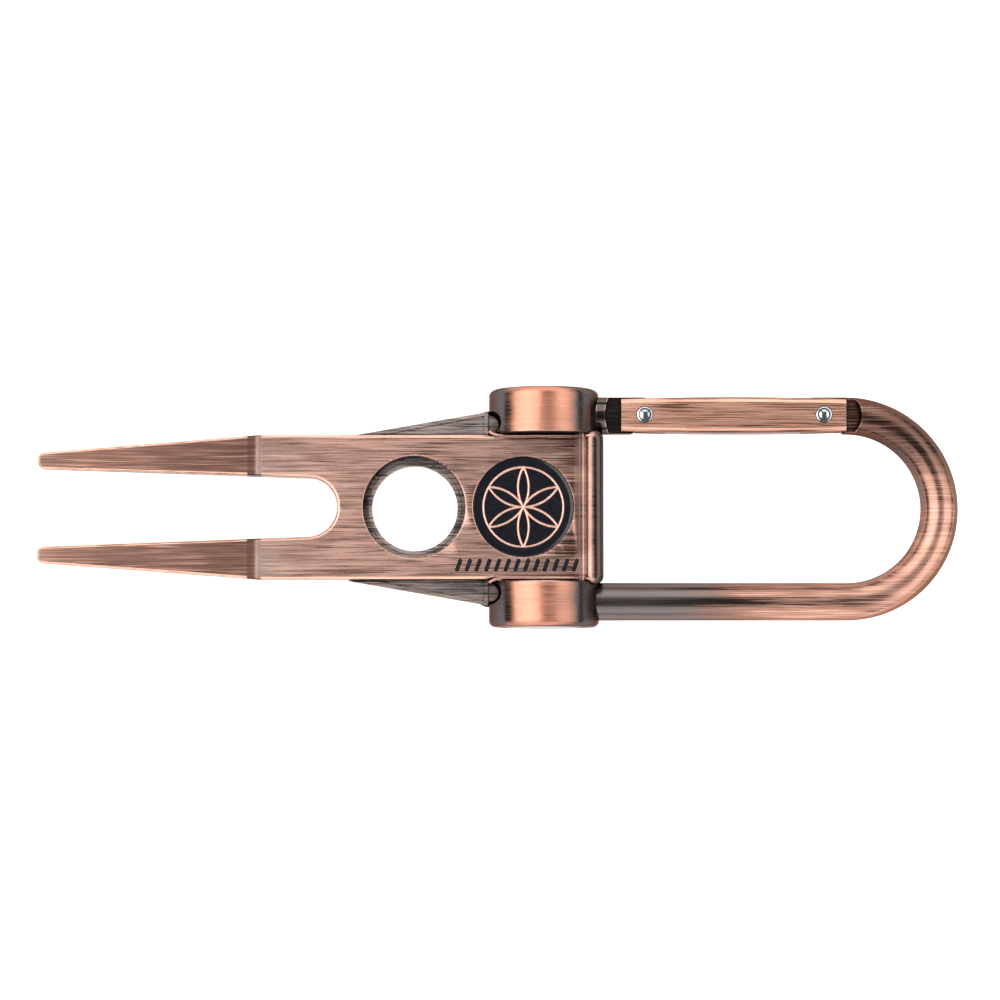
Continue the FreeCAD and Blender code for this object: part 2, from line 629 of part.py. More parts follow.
def rivet(x):
    """Round-headed rivet through both cheeks of the gate."""
    seat = GATE_END_Z - RIVET_SEAT + 0.03
    crown = GATE_END_Z + RIVET_PROUD
    shank = rod_z(x, ARM_Y, RIVET_R, HINGE_Z - seat, HINGE_Z + seat)
    head = rod_z(x, ARM_Y, RIVET_HEAD_R, HINGE_Z + seat, HINGE_Z + crown)
    head = rounded(head, 0.18, lambda e: flat_at(e, HINGE_Z + crown))
    tail = head.mirror(point(0, 0, HINGE_Z), UP)
    return one(shank.fuse([head, tail]))


def gate_plunger():
    """Pin in the gate's bore that the spring presses on the tongue's cam."""
    start = PIVOT_X + CAM_REACH + 0.03
    pin = rod_x(ARM_Y, HINGE_Z, PLUNGER_R, start, start + PLUNGER_LENGTH)
    return rounded(pin, 0.15, lambda e: e.BoundBox.XMax < start + TINY)


def gate_spring():
    """Compression spring, as a sleeve of its outer size, between the plunger and the bore's end."""
    start = PIVOT_X + CAM_REACH + 0.03 + PLUNGER_LENGTH
    tube = rod_x(ARM_Y, HINGE_Z, GATE_SPRING_R, start, BORE_END_X)
    return tube.cut(rod_x(ARM_Y, HINGE_Z, GATE_SPRING_INNER, start - 1, BORE_END_X + 1))


def build():
    fork = fork_body()
    return {
        "fork_body": fork,
        "emblem_badge": emblem_badge(),
        "emblem_enamel": emblem_enamel(),
        "clip_plate": clip_plate(),
        "hinge_post": hinge_post(),
        "hinge_screw": hinge_screw(),
        "hinge_washer_gate_side": hinge_washer(),
        "hinge_washer_arm_side": mirrored(hinge_washer()),
        "clip_spring": clip_spring(),
        "carabiner_bow": carabiner_bow(fork),
        "gate_lug": gate_lug(fork),
        "gate_bar": gate_bar(),
        "gate_hinge_rivet": rivet(PIVOT_X),
        "gate_latch_rivet": rivet(LATCH_X),
        "gate_plunger": gate_plunger(),
        "gate_spring": gate_spring(),
    }


def main():
    os.makedirs("parts", exist_ok=True)
    for name, shape in build().items():
        box = shape.BoundBox
        print(
            f"{name:24s} solids {len(shape.Solids)} valid {shape.isValid()} volume {shape.Volume:9.3f} "
            f"x {box.XMin:.2f} {box.XMax:.2f} y {box.YMin:.2f} {box.YMax:.2f} z {box.ZMin:.2f} {box.ZMax:.2f}"
        )
        shape.exportStep(f"parts/{name}.step")


main()
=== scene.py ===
"""Divot repair tool: finished pieces, materials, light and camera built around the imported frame."""
from __future__ import annotations

import logging
import math
from collections.abc import Callable
from dataclasses import dataclass, field
from enum import Enum

import bmesh
import bpy
from mathutils import Matrix, Vector

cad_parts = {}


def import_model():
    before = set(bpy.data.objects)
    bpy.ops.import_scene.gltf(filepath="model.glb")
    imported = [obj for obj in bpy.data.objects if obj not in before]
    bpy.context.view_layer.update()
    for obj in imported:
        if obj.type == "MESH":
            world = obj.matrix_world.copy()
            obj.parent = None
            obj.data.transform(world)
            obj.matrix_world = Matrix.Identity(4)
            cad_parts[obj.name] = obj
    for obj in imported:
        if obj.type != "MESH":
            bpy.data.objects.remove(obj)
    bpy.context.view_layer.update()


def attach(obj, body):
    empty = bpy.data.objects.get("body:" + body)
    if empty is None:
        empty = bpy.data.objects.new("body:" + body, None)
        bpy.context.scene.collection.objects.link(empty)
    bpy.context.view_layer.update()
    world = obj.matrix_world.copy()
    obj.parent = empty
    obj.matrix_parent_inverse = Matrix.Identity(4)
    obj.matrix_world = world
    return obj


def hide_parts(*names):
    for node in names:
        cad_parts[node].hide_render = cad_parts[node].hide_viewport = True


LOG = logging.getLogger("divot_tool")
MM = 0.001
Colour = tuple[float, float, float]
Choice = Callable[[bmesh.types.BMEdge], bool]


class Body(Enum):
    """The tool's moving bodies."""

    FRAME = "frame"
    CLIP = "clip"
    GATE = "gate"
    PLUNGER = "plunger"


class Slot(Enum):
    """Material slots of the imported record."""

    COPPER = "antique_copper"
    BRIGHT = "bright_copper"
    PATINA = "dark_patina"
    ENAMEL = "black_enamel"
    STEEL = "polished_steel"
    SPRING = "spring_steel"


# ---------------------------------------------------------------------------------------------------------------
# Materials
# ---------------------------------------------------------------------------------------------------------------
class Shader:
    """A node material under construction, with short calls for the nodes it uses."""

    def __init__(self, name: str) -> None:
        """Start an empty Principled material.

        Args:
            name: the material's name.
        """
        self.material = bpy.data.materials.new(name)
        self.material.use_nodes = True
        self.tree = self.material.node_tree
        self.surface = self.tree.nodes["Principled BSDF"]
        self.place = self.tree.nodes.new("ShaderNodeTexCoord")

    def put(self, socket: bpy.types.NodeSocket, value: object) -> None:
        """Link a socket, or set its value if it isn't one."""
        if isinstance(value, bpy.types.NodeSocket):
            self.tree.links.new(value, socket)
        elif isinstance(value, tuple) and len(value) == 3 and len(socket.default_value) == 4:
            socket.default_value = (*value, 1.0)
        else:
            socket.default_value = value

    def math(self, operation: str, first: object, second: object = 0.0, clamp: bool = False) -> bpy.types.NodeSocket:
        """One Math node.

        Args:
            operation: Blender's name of the operation.
            first: first operand, a socket or a number.
            second: second operand, a socket or a number.
            clamp: whether the result is held between 0 and 1.

        Returns:
            The node's output.
        """
        node = self.tree.nodes.new("ShaderNodeMath")
        node.operation = operation
        node.use_clamp = clamp
        self.put(node.inputs[0], first)
        self.put(node.inputs[1], second)
        return node.outputs[0]

    def spread(self, value: object, low: float, high: float, to_low: float = 0.0, to_high: float = 1.0) -> bpy.types.NodeSocket:
        """Map a value smoothly from one range to another and hold it there."""
        node = self.tree.nodes.new("ShaderNodeMapRange")
        node.interpolation_type = "SMOOTHSTEP"
        self.put(node.inputs["Value"], value)
        for name, number in zip(("From Min", "From Max", "To Min", "To Max"), (low, high, to_low, to_high)):
            node.inputs[name].default_value = number
        return node.outputs[0]

    def mix(self, share: object, first: object, second: object) -> bpy.types.NodeSocket:
        """Blend two colours by a share."""
        node = self.tree.nodes.new("ShaderNodeMix")
        node.data_type = "RGBA"
        self.put(node.inputs[0], share)
        self.put(node.inputs[6], first)
        self.put(node.inputs[7], second)
        return node.outputs[2]

    def noise(self, stretch: tuple[float, float, float], turn: float = 0.0, detail: float = 3.0, sway: float = 0.0) -> bpy.types.NodeSocket:
        """Noise over the piece's own coordinates.

        Args:
            stretch: number of features in a millimetre along each axis.
            turn: how far the pattern is turned about Z, in degrees.
            detail: octaves of the noise.
            sway: how strongly the pattern wavers.

        Returns:
            The noise value, from 0 to 1.
        """
        mapping = self.tree.nodes.new("ShaderNodeMapping")
        mapping.inputs["Rotation"].default_value = (0.0, 0.0, math.radians(turn))
        mapping.inputs["Scale"].default_value = tuple(count / MM for count in stretch)
        self.put(mapping.inputs["Vector"], self.place.outputs["Object"])
        node = self.tree.nodes.new("ShaderNodeTexNoise")
        node.inputs["Scale"].default_value = 1.0
        node.inputs["Detail"].default_value = detail
        node.inputs["Roughness"].default_value = 0.6
        node.inputs["Distortion"].default_value = sway
        self.put(node.inputs["Vector"], mapping.outputs[0])
        return node.outputs["Fac"]

    def object_axis(self, axis: str, output: str = "Object") -> bpy.types.NodeSocket:
        """One component of the object's coordinates, or of its normal."""
        node = self.tree.nodes.new("ShaderNodeSeparateXYZ")
        self.put(node.inputs[0], self.place.outputs[output])
        return node.outputs[axis]

    def across(self) -> bpy.types.NodeSocket:
        """The direction across the tool, in which brushed metal spreads its reflections."""
        way = self.tree.nodes.new("ShaderNodeCombineXYZ")
        way.inputs["Y"].default_value = 1.0
        turned = self.tree.nodes.new("ShaderNodeVectorTransform")
        turned.vector_type = "VECTOR"
        turned.convert_from, turned.convert_to = "OBJECT", "WORLD"
        self.put(turned.inputs[0], way.outputs[0])
        return turned.outputs[0]

    def openness(self, reach: float) -> bpy.types.NodeSocket:
        """How open a point is to its surroundings within a reach in millimetres, from 0 to 1."""
        node = self.tree.nodes.new("ShaderNodeAmbientOcclusion")
        node.samples = 8
        node.inputs["Distance"].default_value = reach * MM
        return node.outputs["AO"]

    def edges(self, radius: float) -> bpy.types.NodeSocket:
        """How much the surface bends within a radius in millimetres, 0 on flat faces."""
        node = self.tree.nodes.new("ShaderNodeBevel")
        node.samples = 6
        node.inputs["Radius"].default_value = radius * MM
        plain = self.tree.nodes.new("ShaderNodeNewGeometry")
        dot = self.tree.nodes.new("ShaderNodeVectorMath")
        dot.operation = "DOT_PRODUCT"
        self.put(dot.inputs[0], node.outputs[0])
        self.put(dot.inputs[1], plain.outputs["Normal"])
        return self.math("SUBTRACT", 1.0, dot.outputs["Value"])

    def bump(self, height: object, depth: float, strength: float = 1.0) -> None:
        """Raise the surface by a pattern, with a depth in millimetres."""
        node = self.tree.nodes.new("ShaderNodeBump")
        node.inputs["Strength"].default_value = strength
        node.inputs["Distance"].default_value = depth * MM
        self.put(node.inputs["Height"], height)
        self.put(self.surface.inputs["Normal"], node.outputs[0])


class Measure(Enum):
    """What a fade is measured on: a place in millimetres, or a part of the surface's direction."""

    X = ("X", "Object")
    Y = ("Y", "Object")
    FACING_X = ("X", "Normal")
    FACING_Y = ("Y", "Normal")


@dataclass(frozen=True)
class Fade:
    """A change from one level to another along the tool or round its surface."""

    measure: Measure
    start: float
    end: float
    before: float
    after: float

    def build(self, shade: Shader) -> bpy.types.NodeSocket:
        """Add the fade's nodes and return its level."""
        axis, output = self.measure.value
        scale = MM if output == "Object" else 1.0
        value = shade.object_axis(axis, output)
        return shade.spread(value, self.start * scale, self.end * scale, self.before, self.after)


@dataclass(frozen=True)
class Brushing:
    """The marks of an abrasive belt that ran along the tool."""

    length: float = 6.5
    width: float = 0.1
    turn: float = 1.2
    sway: float = 0.15

    def lines(self, shade: Shader, length: float, width: float, turn: float) -> bpy.types.NodeSocket:
        """Lines along the tool on faces that look forwards, and along it on faces that look sideways.

        Args:
            shade: the material under construction.
            length: how long a line is, in millimetres.
            width: how wide it is.
            turn: how far the lines lean, in degrees.

        Returns:
            Their level, from -1 to 1.
        """
        flat = shade.noise((1 / length, 1 / width, 0.25), turn, detail=1.6, sway=self.sway)
        side = shade.noise((1 / length, 0.25, 1 / width), 0.0, detail=1.6, sway=self.sway)
        sideways = shade.spread(shade.math("ABSOLUTE", shade.object_axis("Y", "Normal")), 0.62, 0.8)
        both = shade.math("ADD", flat, shade.math("MULTIPLY", sideways, shade.math("SUBTRACT", side, flat)))
        return shade.spread(both, 0.33, 0.67, -1.0, 1.0)

    def fine(self, shade: Shader) -> bpy.types.NodeSocket:
        """Single scratches."""
        return self.lines(shade, self.length, self.width, self.turn)

    def broad(self, shade: Shader) -> bpy.types.NodeSocket:
        """Bundles of scratches, longer and wider."""
        return self.lines(shade, 1.5 * self.length, 2.6 * self.width, -self.turn)

    def patches(self, shade: Shader) -> bpy.types.NodeSocket:
        """Places that the belt pressed harder or lighter."""
        return shade.noise((0.14, 0.4, 0.2), self.turn, detail=1.0)


@dataclass(frozen=True)
class RelievedCopper:
    """Copper plate, blackened and then brushed back along the tool, so that it shines where the belt reached, with
    painted shade in its recesses and painted shade and highlights laid on by place and edge.
    """

    name: str
    copper: Colour = (0.57, 0.345, 0.285)
    bright: Colour = (0.88, 0.52, 0.39)
    umber: Colour = (0.26, 0.135, 0.10)
    patina: Colour = (0.095, 0.080, 0.076)
    ash_tone: Colour = (0.27, 0.215, 0.195)
    rust_tone: Colour = (0.58, 0.235, 0.145)
    # Dark brown of the painted shade, laid over the places that its fades list.
    painted_shade_tone: Colour = (0.042, 0.021, 0.016)
    cover: float = 0.78
    front_low: float = 0.35
    front_high: float = 0.85
    front_weight: float = 0.8
    brushing: Brushing = Brushing()
    contrast: float = 1.0
    polish: float = 0.30
    dullness: float = 0.15
    satin: float = 0.14
    groove: float = 0.006
    # Strength of the real edge wear and of the painted rim highlight.
    wear_and_highlight_share: float = 0.85
    drawn: float = 0.7
    edge_tint: Colour = (0.5, 0.4, 0.37)
    # Places where rounded edges get the painted highlight.
    rims: tuple[Fade, ...] = ()
    fades: tuple[Fade, ...] = ()
    ash: tuple[Fade, ...] = ()
    rust: tuple[Fade, ...] = ()
    calm: tuple[Fade, ...] = ()
    # Fades that place the painted shade.
    painted_shade: tuple[Fade, ...] = ()

    def total(self, shade: Shader, fades: tuple[Fade, ...]) -> object:
        """The sum of some fades, held between 0 and 1."""
        level: object = 0.0
        for fade in fades:
            level = shade.math("ADD", level, fade.build(shade))
        return shade.math("ADD", level, 0.0, clamp=True) if fades else 0.0

    def build(self) -> bpy.types.Material:
        """Make the material.

        Returns:
            The node material, on the piece's own coordinates in metres.
        """
        shade = Shader(self.name)
        fine = self.brushing.fine(shade)
        broad = self.brushing.broad(shade)
        patches = shade.spread(self.brushing.patches(shade), 0.3, 0.7, -0.14, 0.14)
        strokes = shade.math("ADD", shade.math("MULTIPLY", fine, 0.68), shade.math("MULTIPLY", broad, 0.32))
        calmed = self.total(shade, self.calm)
        rough_share = shade.math("SUBTRACT", 1.0, calmed)
        marks = shade.math("MULTIPLY", shade.math("MULTIPLY", strokes, 0.4 * self.contrast), rough_share)

        front = shade.math("ABSOLUTE", shade.object_axis("Z", "Normal"))
        reached = shade.spread(front, self.front_low, self.front_high, -self.front_weight, 0.0)
        amount = shade.math("ADD", shade.math("ADD", marks, self.cover), shade.math("ADD", reached, patches))
        for fade in self.fades:
            amount = shade.math("ADD", amount, fade.build(shade))
        open_share = shade.openness(0.6)
        amount = shade.math("ADD", amount, shade.spread(open_share, 0.35, 0.85, -0.9, 0.0), clamp=True)

        # Real wear on sharp edges, and a painted highlight on rounded edges picked by how far the surface leans.
        edge = shade.math("MULTIPLY", shade.spread(shade.edges(0.1), 0.015, 0.1), shade.spread(open_share, 0.5, 0.75))
        rim_highlight = shade.math("MULTIPLY", shade.spread(front, 0.2, 0.5), shade.spread(front, 0.86, 0.985, 1.0, 0.0))
        rim_highlight = shade.math("MULTIPLY", rim_highlight, self.total(shade, self.rims))
        wear_and_rim_highlight = shade.math("MULTIPLY", shade.math("MAXIMUM", edge, rim_highlight), shade.math("MULTIPLY", rough_share, self.wear_and_highlight_share))
        copper = shade.mix(self.total(shade, self.ash), self.copper, self.ash_tone)
        copper = shade.mix(self.total(shade, self.rust), copper, self.rust_tone)
        glow = shade.math("MULTIPLY", shade.spread(strokes, 0.15, 0.8, 0.0, 0.5), rough_share)
        skin = shade.mix(shade.spread(amount, 0.0, 0.5), self.patina, self.umber)
        skin = shade.mix(shade.spread(amount, 0.35, 1.0), skin, shade.mix(glow, copper, self.bright))
        # Painted shade: dark brown laid over the listed places, a little broken by the brush strokes.
        if self.painted_shade:
            reach = shade.spread(strokes, -0.8, 0.8, 1.0, 0.72)
            skin = shade.mix(shade.math("MULTIPLY", self.total(shade, self.painted_shade), reach), skin, self.painted_shade_tone)
        skin = shade.mix(wear_and_rim_highlight, skin, self.bright)
        # Painted shade: the colour goes to near black where the surroundings close in within 0.6 mm, in corners, gaps
        # and recesses.
        painted_recess_shade = shade.spread(open_share, 0.2, 0.75)
        shade.put(shade.surface.inputs["Base Color"], shade.mix(painted_recess_shade, (0.012, 0.010, 0.010), skin))
        rough = shade.spread(amount, 0.0, 1.0, self.dullness, self.polish)
        rough = shade.math("ADD", rough, shade.math("MULTIPLY", calmed, self.satin))
        shade.put(shade.surface.inputs["Roughness"], shade.math("ADD", rough, shade.math("MULTIPLY", fine, 0.05), clamp=True))
        shade.surface.inputs["Metallic"].default_value = 1.0
        shade.surface.inputs["Specular Tint"].default_value = (*self.edge_tint, 1.0)
        shade.surface.inputs["Anisotropic"].default_value = self.drawn
        shade.put(shade.surface.inputs["Tangent"], shade.across())
        shade.bump(shade.math("MULTIPLY", strokes, shade.spread(amount, 0.0, 0.6, 0.25, 1.0)), self.groove)
        return shade.material


@dataclass(frozen=True)
class TurnedSteel:
    """Plated steel, turned or drawn, with fine rings or lines."""

    name: str
    colour: Colour = (0.62, 0.63, 0.66)
    roughness: float = 0.18
    grain: tuple[float, float, float] = (6.0, 6.0, 6.0)
    grain_depth: float = 0.0015

    def build(self) -> bpy.types.Material:
        """Make the material.

        Returns:
            The node material.
        """
        shade = Shader(self.name)
        marks = shade.noise(self.grain, detail=3.0)
        # Painted shade: the colour goes to near black where the surroundings close in within 0.3 mm.
        painted_recess_shade = shade.spread(shade.openness(0.3), 0.3, 0.9)
        tint = shade.mix(marks, tuple(0.82 * part for part in self.colour), self.colour)
        shade.put(shade.surface.inputs["Base Color"], shade.mix(painted_recess_shade, (0.03, 0.03, 0.032), tint))
        low, high = self.roughness * 0.8, self.roughness * 1.35
        shade.put(shade.surface.inputs["Roughness"], shade.spread(marks, 0.3, 0.7, low, high))
        shade.surface.inputs["Metallic"].default_value = 1.0
        shade.bump(marks, self.grain_depth)
        return shade.material


@dataclass(frozen=True)
class GlossEnamel:
    """Baked black enamel with a faint orange-peel surface."""

    name: str
    colour: Colour = (0.004, 0.004, 0.006)
    roughness: float = 0.1

    def build(self) -> bpy.types.Material:
        """Make the material.

        Returns:
            The node material.
        """
        shade = Shader(self.name)
        peel = shade.noise((2.2, 2.2, 2.2), detail=1.0)
        shade.put(shade.surface.inputs["Base Color"], shade.mix(peel, self.colour, (0.010, 0.011, 0.016)))
        shade.put(shade.surface.inputs["Roughness"], shade.spread(peel, 0.2, 0.8, self.roughness, self.roughness * 1.8))
        shade.surface.inputs["Specular IOR Level"].default_value = 0.35
        shade.surface.inputs["Coat Weight"].default_value = 0.2
        shade.surface.inputs["Coat Roughness"].default_value = 0.06
        shade.bump(peel, 0.006, 0.3)
        return shade.material


# ---------------------------------------------------------------------------------------------------------------
# Mesh helpers
# ---------------------------------------------------------------------------------------------------------------
SMOOTH_ANGLE = math.radians(32)


def mm(x: float, y: float, z: float) -> Vector:
    """A place given in millimetres."""
    return Vector((x * MM, y * MM, z * MM))


def finish_mesh(shape: bmesh.types.BMesh, name: str, material: bpy.types.Material, turn_out: bool = True) -> bpy.types.Object:
    """Turn a bmesh into a smooth-shaded object at the origin with sharp creases kept.

    Args:
        shape: the bmesh, which is freed.
        name: the object's name.
        material: its material.
        turn_out: whether the normals are worked out again.

    Returns:
        The new object, linked to the scene.
    """
    if turn_out:
        bmesh.ops.recalc_face_normals(shape, faces=shape.faces)
    for face in shape.faces:
        face.smooth = True
    for edge in shape.edges:
        edge.smooth = len(edge.link_faces) == 2 and edge.calc_face_angle(0.0) < SMOOTH_ANGLE
    mesh = bpy.data.meshes.new(name)
    shape.to_mesh(mesh)
    shape.free()
    mesh.materials.append(material)
    made = bpy.data.objects.new(name, mesh)
    bpy.context.scene.collection.objects.link(made)
    return made


def even_shading(piece: bpy.types.Object) -> None:
    """Keep flat faces flat beside their rounded edges."""
    modifier = piece.modifiers.new("even shading", "WEIGHTED_NORMAL")
    modifier.keep_sharp = True
    modifier.weight = 100


def solid_copy(node: str, name: str, material: bpy.types.Material) -> bpy.types.Object:
    """A merged, smooth-shaded copy of a frame node that stands in its place.

    Args:
        node: the frame's node.
        name: the copy's name.
        material: its material.

    Returns:
        The copy, which replaces the node.
    """
    shape = bmesh.new()
    shape.from_mesh(bpy.data.objects[node].data)
    bmesh.ops.remove_doubles(shape, verts=shape.verts, dist=0.0004 * MM)
    bmesh.ops.dissolve_degenerate(shape, edges=shape.edges, dist=0.0002 * MM)
    made = finish_mesh(shape, name, material, turn_out=False)
    even_shading(made)
    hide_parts(node)
    return made


def coat(node: str, material: bpy.types.Material) -> None:
    """Give a CAD part that keeps its own mesh another material.

    Args:
        node: the part's name.
        material: its finish.
    """
    part = bpy.data.objects[node]
    part.data.materials.clear()
    part.data.materials.append(material)


def spun(profile: list[tuple[float, float]], centre: Vector, axis: Vector, steps: int = 64) -> bmesh.types.BMesh:
    """Turn a profile of (radius, height) points, in millimetres, once about an axis.

    Args:
        profile: points from the axis at one end to the axis at the other.
        centre: the place of height 0 on the axis, in metres.
        axis: the axis.
        steps: faces round the turn.

    Returns:
        The closed bmesh.
    """
    shape = bmesh.new()
    points = [shape.verts.new((radius * MM, 0.0, height * MM)) for radius, height in profile]
    edges = [shape.edges.new(pair) for pair in zip(points, points[1:])]
    bmesh.ops.spin(
        shape, geom=[*points, *edges], cent=(0, 0, 0), axis=(0, 0, 1), dvec=(0, 0, 0),
        angle=math.tau, steps=steps, use_merge=True, use_duplicate=False,
    )
    bmesh.ops.remove_doubles(shape, verts=shape.verts, dist=0.0005 * MM)
    turn = Vector((0, 0, 1)).rotation_difference(axis).to_matrix().to_4x4()
    bmesh.ops.transform(shape, matrix=Matrix.Translation(centre) @ turn, verts=shape.verts)
    return shape


def carve(piece: bpy.types.Object, cutters: list[bpy.types.Object]) -> None:
    """Cut shapes out of a piece and throw the cutters away."""
    for cutter in cutters:
        modifier = piece.modifiers.new("cut", "BOOLEAN")
        modifier.operation = "DIFFERENCE"
        modifier.solver = "EXACT"
        modifier.object = cutter
    view = bpy.context.evaluated_depsgraph_get()
    cut = bpy.data.meshes.new_from_object(piece.evaluated_get(view), depsgraph=view)
    piece.modifiers.clear()
    old, name = piece.data, piece.data.name
    piece.data = cut
    bpy.data.meshes.remove(old)
    cut.name = name
    for cutter in cutters:
        bpy.data.meshes.remove(cutter.data)


# ---------------------------------------------------------------------------------------------------------------
# Sub-assemblies
# ---------------------------------------------------------------------------------------------------------------
@dataclass
class Fork:
    """The cast fork with its row of painted grooves."""

    tick_count: int = 13
    tick_pitch: float = 0.96
    tick_x: float = -3.95
    tick_y: float = -5.78
    tick_size: tuple[float, float] = (0.40, 1.32)
    tick_lean: float = 20.0
    tick_floor: float = 8.48
    tick_fill: float = 0.1
    metal: RelievedCopper = field(
        default_factory=lambda: RelievedCopper(
            "fork copper",
            fades=(
                Fade(Measure.X, -24.7, -23.9, -0.3, 0.0),
                Fade(Measure.X, -20.0, -10.0, 0.0, 0.1),
                Fade(Measure.X, 4.5, 8.0, 0.0, -0.3),
                # Painted highlight on the left half of the cross bar.
                Fade(Measure.X, 8.25, 8.5, 0.0, 0.15),
                # Painted shade on everything right of the cross bar's middle.
                Fade(Measure.X, 9.25, 9.7, 0.0, -0.9),
                Fade(Measure.Y, -7.2, -6.95, 0.3, 0.0),
                Fade(Measure.Y, 6.95, 7.2, 0.0, 0.3),
                # Partly painted shade: faces turned to the left or right, such as the ears' and the bar's sides, are
                # darkened as their reflections would be; these side walls also keep real patina.
                Fade(Measure.FACING_X, -0.9, -0.35, -1.3, 0.0),
                Fade(Measure.FACING_X, 0.05, 0.3, 0.0, -0.32),
                Fade(Measure.FACING_X, 0.4, 0.85, 0.0, -1.3),
            ),
            contrast=0.72, front_weight=1.0,
            rims=(Fade(Measure.X, -1.6, -1.2, 1.0, 0.0),),
            ash=(Fade(Measure.X, -24.1, -23.7, 0.0, 0.85), Fade(Measure.X, -23.5, -15.0, 0.0, -0.85)),
            rust=(Fade(Measure.Y, -7.6, -7.3, 0.8, 0.0), Fade(Measure.Y, 7.3, 7.6, 0.0, 0.8)),
            calm=(
                Fade(Measure.Y, -7.6, -7.3, 0.7, 0.0),
                Fade(Measure.Y, 7.3, 7.6, 0.0, 0.7),
                Fade(Measure.X, 7.3, 7.7, 0.0, 0.75),
                Fade(Measure.X, -25.0, -24.8, 0.0, 0.95),
                Fade(Measure.X, -23.6, -23.4, 0.0, -0.95),
            ),
            painted_shade=(
                # Painted shade on the sloped tines, strongest next to the bend line.
                Fade(Measure.X, -46.0, -24.7, 0.68, 0.95),
                Fade(Measure.X, -24.25, -23.85, 0.0, -0.95),
                # Painted shade on the cross bar's right side.
                Fade(Measure.X, 9.4, 9.9, 0.0, 0.35),
            ),
        )
    )
    paint: GlossEnamel = field(default_factory=lambda: GlossEnamel("groove paint", roughness=0.65))

    def build(self) -> None:
        """Make the fork's pieces and let them ride on the frame."""
        body = solid_copy("fork_body", "fork_body_finished", self.metal.build())
        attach(body, Body.FRAME.value)
        fills = self.groove_paint()
        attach(fills, Body.FRAME.value)
        LOG.info("fork: body and %d painted grooves", self.tick_count)

    def groove_paint(self) -> bpy.types.Object:
        """Thin black fills on the floors of the grooves.

        Returns:
            One object that holds them all.
        """
        shape = bmesh.new()
        width, length = self.tick_size
        for index in range(self.tick_count):
            made = bmesh.ops.create_circle(shape, cap_ends=True, segments=24, radius=width / 2 * MM)["verts"]
            for vert in made:
                vert.co.y += math.copysign((length - width) / 2 * MM, vert.co.y)
            lifted = bmesh.ops.extrude_face_region(shape, geom=[made[0].link_faces[0]])["geom"]
            top = [item for item in lifted if isinstance(item, bmesh.types.BMVert)]
            bmesh.ops.translate(shape, verts=top, vec=(0, 0, self.tick_fill * MM))
            place = Matrix.Translation(mm(self.tick_x + index * self.tick_pitch, self.tick_y, self.tick_floor))
            lean = Matrix.Rotation(math.radians(-self.tick_lean), 4, "Z")
            bmesh.ops.transform(shape, matrix=place @ lean, verts=[*made, *top])
        return finish_mesh(shape, "groove_paint", self.paint.build())


